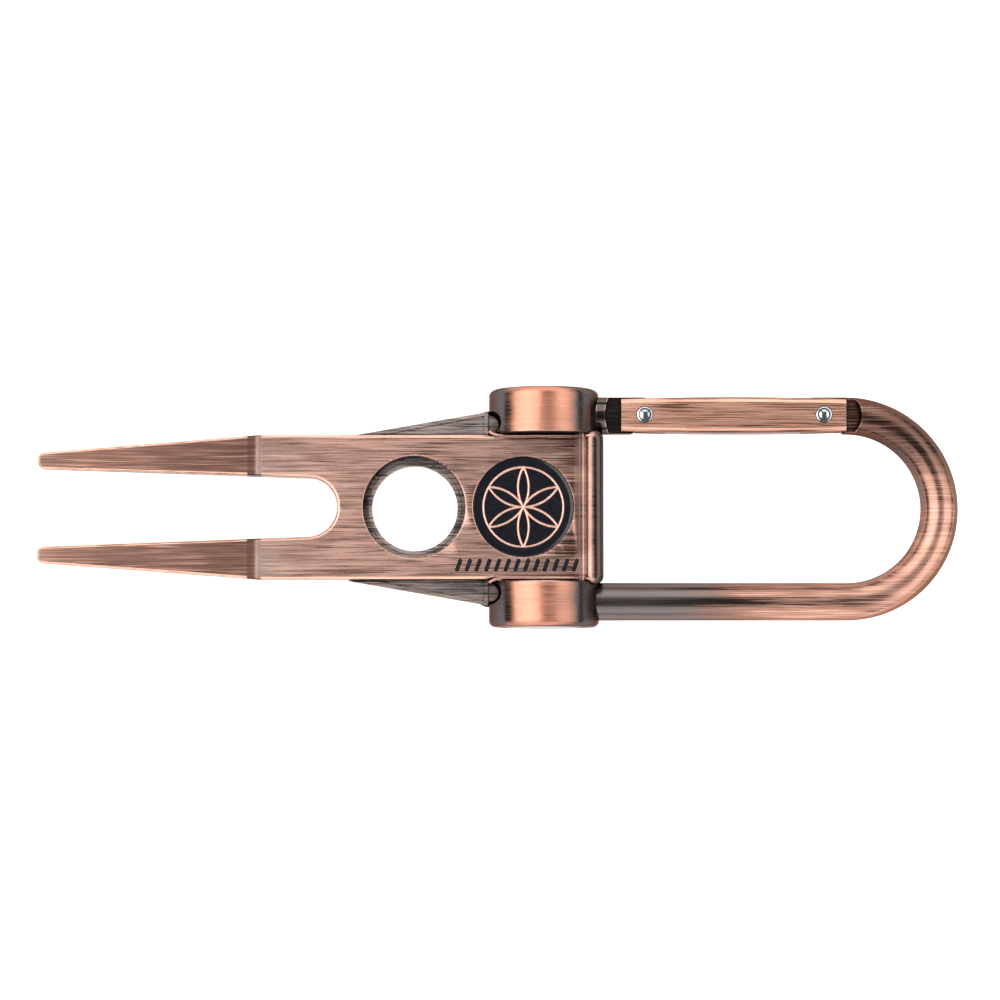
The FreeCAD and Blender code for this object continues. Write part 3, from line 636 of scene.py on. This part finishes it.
@dataclass
class Emblem:
    """Struck disc with a raised six-petal flower and its black enamel."""

    centre_x: float = 2.435
    radius: float = 4.95
    floor: float = 8.0
    disc_top: float = 8.15
    flower_radius: float = 4.15
    line: float = 0.19
    line_top: float = 8.46
    enamel_top: float = 8.36
    petals: int = 6
    metal: RelievedCopper = field(
        default_factory=lambda: RelievedCopper("badge copper", cover=1.0, front_weight=0.3, wear_and_highlight_share=0.3, contrast=0.4, polish=0.26)
    )
    enamel: GlossEnamel = field(default_factory=lambda: GlossEnamel("badge enamel"))

    def build(self) -> None:
        """Make the badge and its enamel."""
        badge = finish_mesh(self.struck_disc(), "emblem_badge_struck", self.metal.build())
        fill = finish_mesh(self.enamel_pool(), "emblem_enamel_pool", self.enamel.build())
        for piece, node, slot in ((badge, "emblem_badge", Slot.BRIGHT), (fill, "emblem_enamel", Slot.ENAMEL)):
            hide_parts(node)
            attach(piece, Body.FRAME.value)
        LOG.info("emblem: badge and enamel")

    def struck_disc(self) -> bmesh.types.BMesh:
        """The disc with its rim ring and crossing arcs, each half round.

        Returns:
            The bmesh.
        """
        height = (self.disc_top - self.floor)
        disc = [(0.0, 0.0), (self.radius, 0.0), (self.radius, height), (0.0, height)]
        shape = spun(disc, mm(self.centre_x, 0, self.floor), Vector((0, 0, 1)), 96)
        ring_radius = self.flower_radius - self.line
        self.raised_arc(shape, (self.centre_x, 0.0), ring_radius, 0.0, 360.0, 128)
        for index in range(self.petals):
            angle = 30 + index * 360 / self.petals
            x = self.centre_x + ring_radius * math.cos(math.radians(angle))
            y = ring_radius * math.sin(math.radians(angle))
            self.raised_arc(shape, (x, y), ring_radius, angle + 120, 120.0, 40)
        return shape

    def raised_arc(self, shape: bmesh.types.BMesh, centre: tuple[float, float], radius: float, start: float, sweep: float, steps: int) -> None:
        """Sweep a half-round section round part of a circle.

        Args:
            shape: the bmesh that gains the line.
            centre: the circle's centre, in millimetres.
            radius: the circle's radius.
            start: where the arc starts, in degrees from +X.
            sweep: how far it runs, in degrees.
            steps: segments along it.
        """
        made = bmesh.ops.create_circle(shape, cap_ends=sweep < 360, segments=16, radius=self.line * MM)["verts"]
        stand = Matrix.Rotation(math.radians(90), 4, "X")
        tall = Matrix.Diagonal((1.0, 1.0, (self.line_top - self.disc_top) / self.line, 1.0))
        aim = Matrix.Rotation(math.radians(start), 4, "Z")
        out = Matrix.Translation(mm(radius, 0, 0))
        place = Matrix.Translation(mm(centre[0], centre[1], self.disc_top))
        bmesh.ops.transform(shape, matrix=place @ aim @ out @ tall @ stand, verts=made)
        edges = list({edge for vert in made for edge in vert.link_edges})
        faces = list({face for vert in made for face in vert.link_faces})
        bmesh.ops.spin(
            shape, geom=[*made, *edges, *faces], cent=mm(centre[0], centre[1], 0), axis=(0, 0, 1), dvec=(0, 0, 0),
            angle=math.radians(sweep), steps=steps, use_merge=sweep >= 360, use_duplicate=False,
        )

    def enamel_pool(self) -> bmesh.types.BMesh:
        """The enamel, with a low meniscus at its rim.

        Returns:
            The bmesh.
        """
        low, top = self.disc_top + 0.001, self.enamel_top
        profile = [
            (0.0, low), (self.radius, low), (self.radius, top + 0.05),
            (self.radius - 0.12, top + 0.015), (self.radius - 0.4, top), (0.0, top),
        ]
        return spun(profile, mm(self.centre_x, 0, 0), Vector((0, 0, 1)), 96)


@dataclass
class Bow:
    """The carabiner's bent rod with its hooked nose, and the lug that carries the gate."""

    arm_y: float = 9.3
    axis_z: float = 5.5
    rod_radius: float = 1.88
    root_x: float = 9.0
    bend_x: float = 34.72
    nose_x: float = 31.3
    web_half: float = 0.55
    step_radius: float = 2.6
    step_x: float = 33.6
    latch_x: float = 32.41
    metal: RelievedCopper = field(
        default_factory=lambda: RelievedCopper(
            "rod copper", cover=0.7, front_low=0.0, front_high=0.75, front_weight=0.6, contrast=0.9,
            copper=(0.6, 0.325, 0.245), patina=(0.16, 0.132, 0.125),
            fades=(
                Fade(Measure.X, 12.0, 28.0, -1.1, 0.0),
                Fade(Measure.Y, -1.0, 6.5, 0.0, -0.35),
                Fade(Measure.X, 34.0, 38.0, 0.0, 0.1),
                # Painted shade on the faces that turn outwards round the bend.
                Fade(Measure.FACING_X, 0.3, 0.9, 0.0, -0.3),
            ),
            calm=(Fade(Measure.X, 14.0, 24.0, 0.8, 0.0), Fade(Measure.X, 36.0, 40.0, 0.0, 0.5)),
            # Painted shade, deepening towards the nose, where the web lies in shade.
            painted_shade=(Fade(Measure.Y, 0.5, 7.5, 0.0, 0.75),),
        )
    )
    dark: RelievedCopper = field(
        default_factory=lambda: RelievedCopper("lug patina", cover=0.06, umber=(0.13, 0.12, 0.12), front_weight=0.3, wear_and_highlight_share=1.0, dullness=0.14, contrast=0.4)
    )

    def build(self) -> None:
        """Make the rod and the lug."""
        rod = finish_mesh(self.rod(), "carabiner_bow_finished", self.metal.build())
        carve(rod, [*self.nose_cutters()])
        self.crease(rod)
        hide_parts("carabiner_bow")
        lug = solid_copy("gate_lug", "gate_lug_finished", self.dark.build())
        for piece, slot in ((rod, Slot.COPPER), (lug, Slot.PATINA)):
            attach(piece, Body.FRAME.value)
        LOG.info("carabiner: rod and lug")

    def crease(self, rod: bpy.types.Object) -> None:
        """Mark the carved rod's sharp edges and smooth the rest."""
        shape = bmesh.new()
        shape.from_mesh(rod.data)
        for edge in shape.edges:
            edge.smooth = len(edge.link_faces) == 2 and edge.calc_face_angle(0.0) < SMOOTH_ANGLE
        for face in shape.faces:
            face.smooth = True
        shape.to_mesh(rod.data)
        shape.free()

    def rod(self) -> bmesh.types.BMesh:
        """A round section drawn along the arm, through the bend and back to the nose.

        Returns:
            The closed bmesh.
        """
        shape = bmesh.new()
        ring = bmesh.ops.create_circle(shape, cap_ends=True, segments=72, radius=self.rod_radius * MM)["verts"]
        stand = Matrix.Rotation(math.radians(90), 4, "Y")
        place = Matrix.Translation(mm(self.root_x, -self.arm_y, self.axis_z))
        bmesh.ops.transform(shape, matrix=place @ stand, verts=ring)
        end = [ring[0].link_faces[0]]
        for _ in range(24):
            end = self.pull(shape, end, (self.bend_x - self.root_x) / 24)
        swept = bmesh.ops.spin(
            shape, geom=end, cent=mm(self.bend_x, 0, self.axis_z), axis=(0, 0, 1), dvec=(0, 0, 0),
            angle=math.pi, steps=120, use_merge=False, use_duplicate=False,
        )["geom_last"]
        bmesh.ops.delete(shape, geom=end, context="FACES_ONLY")
        end = [item for item in swept if isinstance(item, bmesh.types.BMFace)]
        self.pull(shape, end, self.nose_x - self.bend_x)
        bmesh.ops.remove_doubles(shape, verts=shape.verts, dist=0.001 * MM)
        for vert in shape.verts:
            if vert.co.x > self.bend_x * MM:
                self.press(vert)
        return shape

    def press(self, vert: bmesh.types.BMVert) -> None:
        """Flatten the rod's outer and inner sides where the bending die pressed them.

        Args:
            vert: a point of the bend, which moves towards the rod's middle.
        """
        x, y = vert.co.x / MM - self.bend_x, vert.co.y / MM
        turn = math.degrees(math.atan2(y, x))
        middle = mm(self.bend_x, 0, self.axis_z) + Vector((x, y, 0)).normalized() * (self.arm_y * MM)
        spoke = vert.co - middle
        outward = math.hypot(x, y) - self.arm_y
        lean = math.degrees(math.atan2(abs(spoke.z) / MM, outward))
        for half, start, full, angle in ((45.0, -78.0, -40.0, lean), (40.0, -50.0, -5.0, 180.0 - lean)):
            if angle < half:
                share = min(max((turn - start) / (full - start), 0.0), 1.0)
                chord = math.cos(math.radians(half / 2)) / math.cos(math.radians(angle - half / 2))
                vert.co = middle + spoke * (1 + share * (chord - 1))

    def pull(self, shape: bmesh.types.BMesh, faces: list[bmesh.types.BMFace], distance: float) -> list[bmesh.types.BMFace]:
        """Extrude an end face along X by a distance in millimetres and return the new end."""
        moved = bmesh.ops.extrude_face_region(shape, geom=faces)["geom"]
        verts = [item for item in moved if isinstance(item, bmesh.types.BMVert)]
        bmesh.ops.translate(shape, verts=verts, vec=(distance * MM, 0, 0))
        bmesh.ops.delete(shape, geom=faces, context="FACES_ONLY")
        return [item for item in moved if isinstance(item, bmesh.types.BMFace)]

    def nose_cutters(self) -> list[bpy.types.Object]:
        """Shapes that leave the thin web above and below, and the hook that holds the latch rivet.

        Returns:
            The cutters.
        """
        cutters = []
        for side in (-1, 1):
            middle = self.axis_z + side * (self.web_half + 2.0)
            cutters.append(self.step_cutter(middle))
        cutters.append(self.hook_cutter())
        return cutters

    def step_cutter(self, middle: float) -> bpy.types.Object:
        """A block with one round end that clears a cheek of the gate."""
        shape = bmesh.new()
        ring = bmesh.ops.create_circle(shape, cap_ends=True, segments=96, radius=self.step_radius * MM)["verts"]
        for vert in ring:
            if vert.co.x < 0:
                vert.co.x -= 4 * MM
        moved = bmesh.ops.extrude_face_region(shape, geom=[ring[0].link_faces[0]])["geom"]
        top = [item for item in moved if isinstance(item, bmesh.types.BMVert)]
        bmesh.ops.translate(shape, verts=top, vec=(0, 0, 4 * MM))
        bmesh.ops.translate(shape, verts=shape.verts, vec=mm(self.step_x, self.arm_y, middle - 2.0))
        return finish_mesh(shape, "cutter", bpy.data.materials[0])

    def hook_cutter(self) -> bpy.types.Object:
        """The notch that the latch rivet enters from inside the loop."""
        left, right = self.latch_x - 0.69, self.latch_x + 0.8
        low, roof = self.arm_y - 2.6, self.arm_y + 0.6
        outline = [
            (left - 2.0, low), (self.bend_x - 0.3, low), (self.bend_x - 0.3, self.arm_y - 1.88), (self.bend_x - 0.72, self.arm_y - 1.45),
            (right, self.arm_y - 0.9), (right, roof - 0.2), (right - 0.2, roof), (left + 0.2, roof), (left, roof - 0.2),
            (left, self.arm_y - 0.1), (left - 2.0, self.arm_y - 0.1),
        ]
        shape = bmesh.new()
        corners = [shape.verts.new(mm(x, y, self.axis_z - 1)) for x, y in outline]
        moved = bmesh.ops.extrude_face_region(shape, geom=[shape.faces.new(corners)])["geom"]
        top = [item for item in moved if isinstance(item, bmesh.types.BMVert)]
        bmesh.ops.translate(shape, verts=top, vec=(0, 0, 2 * MM))
        return finish_mesh(shape, "cutter", bpy.data.materials[0])


@dataclass
class Gate:
    """The gate bar with its rivets, plunger and spring."""

    pivot_x: float = 14.55
    latch_x: float = 32.41
    axis_y: float = 9.3
    axis_z: float = 5.5
    head_radius: float = 0.8
    head_seat: float = 1.55
    head_crown: float = 1.86
    shank_radius: float = 0.55
    coil_start: float = 18.8
    coil_end: float = 27.0
    coil_radius: float = 0.47
    coil_wire: float = 0.1
    coil_turns: int = 20
    metal: RelievedCopper = field(
        default_factory=lambda: RelievedCopper(
            "gate copper", cover=0.85, copper=(0.86, 0.445, 0.315), bright=(1.0, 0.64, 0.48), umber=(0.4, 0.2, 0.14), front_weight=0.8,
            # Painted highlight towards the hinge end.
            contrast=1.1, fades=(Fade(Measure.X, 13.5, 18.0, 0.35, 0.0),),
        )
    )
    steel: TurnedSteel = field(default_factory=lambda: TurnedSteel("rivet steel", roughness=0.14))
    wire: TurnedSteel = field(default_factory=lambda: TurnedSteel("spring wire", colour=(0.4, 0.4, 0.42), roughness=0.25))

    def build(self) -> None:
        """Make the gate's pieces."""
        bar = solid_copy("gate_bar", "gate_bar_finished", self.metal.build())
        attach(bar, Body.GATE.value)
        steel = self.steel.build()
        for x, node in ((self.pivot_x, "gate_hinge_rivet"), (self.latch_x, "gate_latch_rivet")):
            rivet = finish_mesh(self.rivet(x), f"{node}_turned", steel)
            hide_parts(node)
            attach(rivet, Body.GATE.value)
        coat("gate_plunger", steel)
        coil = finish_mesh(self.coil(), "gate_spring_coil", self.wire.build())
        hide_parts("gate_spring")
        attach(coil, Body.GATE.value)
        LOG.info("gate: bar, rivets, plunger and spring")

    def rivet(self, x: float) -> bmesh.types.BMesh:
        """A rivet with two low round heads, each with a shallow turned ring."""
        crown, seat, wide = self.head_crown, self.head_seat, self.head_radius
        head = [
            (self.shank_radius, seat), (wide - 0.02, seat), (wide, seat + 0.03), (wide, crown - 0.17), (wide * 0.95, crown - 0.1),
            (wide * 0.82, crown - 0.06), (wide * 0.66, crown - 0.075), (wide * 0.6, crown - 0.07), (wide * 0.42, crown - 0.02), (0.0, crown),
        ]
        tail = [(radius, -height) for radius, height in reversed(head)]
        return spun([*tail, *head], mm(x, self.axis_y, self.axis_z), Vector((0, 0, 1)), 48)

    def coil(self) -> bmesh.types.BMesh:
        """The compression spring's wire, wound along the gate's bore."""
        shape = bmesh.new()
        ring = bmesh.ops.create_circle(shape, cap_ends=True, segments=10, radius=self.coil_wire * MM)["verts"]
        stand = Matrix.Rotation(math.radians(90), 4, "Y")
        start = Matrix.Translation(mm(self.coil_start + self.coil_wire, self.axis_y, self.axis_z + self.coil_radius))
        bmesh.ops.transform(shape, matrix=start @ Matrix.Rotation(math.radians(90), 4, "Z") @ stand, verts=ring)
        steps = self.coil_turns * 20
        run = (self.coil_end - self.coil_start - 2 * self.coil_wire) / steps
        bmesh.ops.spin(
            shape, geom=[ring[0].link_faces[0]], cent=mm(0, self.axis_y, self.axis_z), axis=(1, 0, 0), dvec=(run * MM, 0, 0),
            angle=self.coil_turns * math.tau, steps=steps, use_merge=False, use_duplicate=False,
        )
        return shape


@dataclass
class ClipHinge:
    """The rear clip with its post, screw, washers and torsion spring."""

    hinge_x: float = 4.505
    hinge_z: float = 5.5
    ear_face: float = 11.87
    head_radius: float = 4.1
    head_seat: float = 0.7
    shank_radius: float = 1.0
    spring_half: float = 3.4
    spring_radius: float = 1.4
    wire: float = 0.2
    turns: int = 14
    clip_leg: float = 6.2
    fork_leg: float = 1.15
    metal: RelievedCopper = field(
        default_factory=lambda: RelievedCopper(
            "clip patina", cover=0.45, copper=(0.55, 0.47, 0.45), umber=(0.25, 0.22, 0.215), patina=(0.15, 0.147, 0.15),
            front_weight=0.4, contrast=0.9, fades=(Fade(Measure.Y, -2.0, 5.0, 0.25, 0.3),),
        )
    )
    steel: TurnedSteel = field(default_factory=lambda: TurnedSteel("pin steel", colour=(0.44, 0.45, 0.475), roughness=0.26, grain=(1.5, 14.0, 14.0)))
    coil_steel: TurnedSteel = field(default_factory=lambda: TurnedSteel("coil wire", colour=(0.36, 0.36, 0.38), roughness=0.26))

    def build(self) -> None:
        """Make the clip's and the hinge's pieces."""
        clip = solid_copy("clip_plate", "clip_plate_finished", self.metal.build())
        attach(clip, Body.CLIP.value)
        steel = self.steel.build()
        for node in ("hinge_post", "hinge_screw"):
            piece = solid_copy(node, f"{node}_finished", steel)
            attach(piece, Body.FRAME.value)
        for node in ("hinge_washer_gate_side", "hinge_washer_arm_side"):
            coat(node, steel)
        spring = finish_mesh(self.coil(), "clip_spring_coil", self.coil_steel.build())
        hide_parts("clip_spring")
        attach(spring, Body.CLIP.value)
        LOG.info("clip: plate, post, screw, washers and spring")

    def coil(self) -> bmesh.types.BMesh:
        """The torsion spring: a leg under the clip, the coils, and a leg under the fork.

        Returns:
            The bmesh.
        """
        shape = bmesh.new()
        ring = bmesh.ops.create_circle(shape, cap_ends=True, segments=12, radius=self.wire * MM)["verts"]
        stand = Matrix.Rotation(math.radians(90), 4, "Y")
        first_y = -self.spring_half + 0.4
        low = mm(self.hinge_x - self.clip_leg, first_y, self.hinge_z - self.spring_radius)
        bmesh.ops.transform(shape, matrix=Matrix.Translation(low) @ stand, verts=ring)
        end = self.draw(shape, [ring[0].link_faces[0]], Vector((self.clip_leg * MM, 0, 0)))
        sweep = self.turns * math.tau + math.radians(150)
        steps = self.turns * 24 + 10
        run = 2 * (self.spring_half - 0.4) / steps
        swept = bmesh.ops.spin(
            shape, geom=end, cent=mm(self.hinge_x, 0, self.hinge_z), axis=(0, -1, 0), dvec=(0, run * MM, 0),
            angle=sweep, steps=steps, use_merge=False, use_duplicate=False,
        )["geom_last"]
        end = [item for item in swept if isinstance(item, bmesh.types.BMFace)]
        tilt = math.radians(60)
        self.draw(shape, end, Vector((math.sin(tilt), 0, -math.cos(tilt))) * (self.fork_leg * MM) * -1)
        return shape

    def draw(self, shape: bmesh.types.BMesh, faces: list[bmesh.types.BMFace], way: Vector) -> list[bmesh.types.BMFace]:
        """Extrude the wire's end along a straight way and return the new end."""
        moved = bmesh.ops.extrude_face_region(shape, geom=faces)["geom"]
        verts = [item for item in moved if isinstance(item, bmesh.types.BMVert)]
        bmesh.ops.translate(shape, verts=verts, vec=way)
        bmesh.ops.delete(shape, geom=faces, context="FACES_ONLY")
        return [item for item in moved if isinstance(item, bmesh.types.BMFace)]


# ---------------------------------------------------------------------------------------------------------------
# Studio
# ---------------------------------------------------------------------------------------------------------------
@dataclass(frozen=True)
class SoftBox:
    """One soft area light: its place in metres, its size, and how bright its face is."""

    name: str
    place: tuple[float, float, float]
    size: tuple[float, float]
    brightness: float


@dataclass
class Studio:
    """Pale floor, soft light and the camera above the tool."""

    aim: tuple[float, float, float] = (0.13, 0.875, 5.5)
    tilt: float = 3.6
    distance: float = 0.30
    frame_width: float = 100.0
    floor_tone: float = 0.8
    floor_glow: float = 0.6
    boxes: tuple[SoftBox, ...] = (
        SoftBox("left box", (-0.275, 0.0, 0.36), (0.37, 0.5), 3.2),
        SoftBox("right box", (0.42, 0.0, 0.34), (0.55, 0.5), 2.0),
        SoftBox("far box", (0.0, 0.40, 0.34), (1.0, 0.44), 2.0),
        SoftBox("near box", (0.0, -0.42, 0.28), (1.0, 0.40), 1.7),
    )
    ambient: float = 0.12

    def build(self) -> None:
        """Make the floor, the lights, the world and the camera."""
        self.make_floor()
        for box in self.boxes:
            self.make_light(box)
        self.make_world()
        self.make_camera()
        LOG.info("studio: floor, %d lights and camera", len(self.boxes))

    def make_floor(self) -> None:
        """A wide pale sheet under the tool."""
        shape = bmesh.new()
        bmesh.ops.create_grid(shape, x_segments=1, y_segments=1, size=1.5)
        shade = Shader("studio floor")
        shade.surface.inputs["Base Color"].default_value = (*[self.floor_tone] * 3, 1.0)
        shade.surface.inputs["Emission Color"].default_value = (1.0, 1.0, 1.0, 1.0)
        shade.surface.inputs["Emission Strength"].default_value = self.floor_glow
        shade.surface.inputs["Roughness"].default_value = 0.8
        finish_mesh(shape, "studio_floor", shade.material, turn_out=False)

    def make_light(self, box: SoftBox) -> None:
        """Hang one soft box, turned towards the tool."""
        data = bpy.data.lights.new(box.name, "AREA")
        data.shape = "RECTANGLE"
        data.size, data.size_y = box.size
        data.energy = box.brightness * math.pi * box.size[0] * box.size[1]
        lamp = bpy.data.objects.new(box.name, data)
        lamp.location = box.place
        lamp.rotation_euler = (-Vector(box.place)).to_track_quat("-Z", "Y").to_euler()
        bpy.context.scene.collection.objects.link(lamp)

    def make_world(self) -> None:
        """Even fill from all round."""
        world = bpy.data.worlds.new("studio")
        world.use_nodes = True
        world.node_tree.nodes["Background"].inputs["Color"].default_value = (1.0, 1.0, 1.0, 1.0)
        world.node_tree.nodes["Background"].inputs["Strength"].default_value = self.ambient
        bpy.context.scene.world = world
        bpy.context.scene.view_settings.view_transform = "Standard"

    def make_camera(self) -> None:
        """Look down at the tool, leaning a little towards its outer arm."""
        data = bpy.data.cameras.new("camera")
        data.sensor_width = 36.0
        data.lens = data.sensor_width * self.distance / (self.frame_width * MM)
        camera = bpy.data.objects.new("camera", data)
        lean = math.radians(self.tilt)
        camera.location = mm(*self.aim) + Vector((0.0, -math.sin(lean), math.cos(lean))) * self.distance
        camera.rotation_euler = (lean, 0.0, 0.0)
        data.clip_start = 0.01
        bpy.context.scene.collection.objects.link(camera)
        bpy.context.scene.camera = camera


def main() -> None:
    logging.basicConfig(level=logging.INFO, format="%(message)s")
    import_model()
    Studio().build()
    Fork().build()
    Emblem().build()
    Bow().build()
    Gate().build()
    ClipHinge().build()


if __name__ == "__main__":
    main()
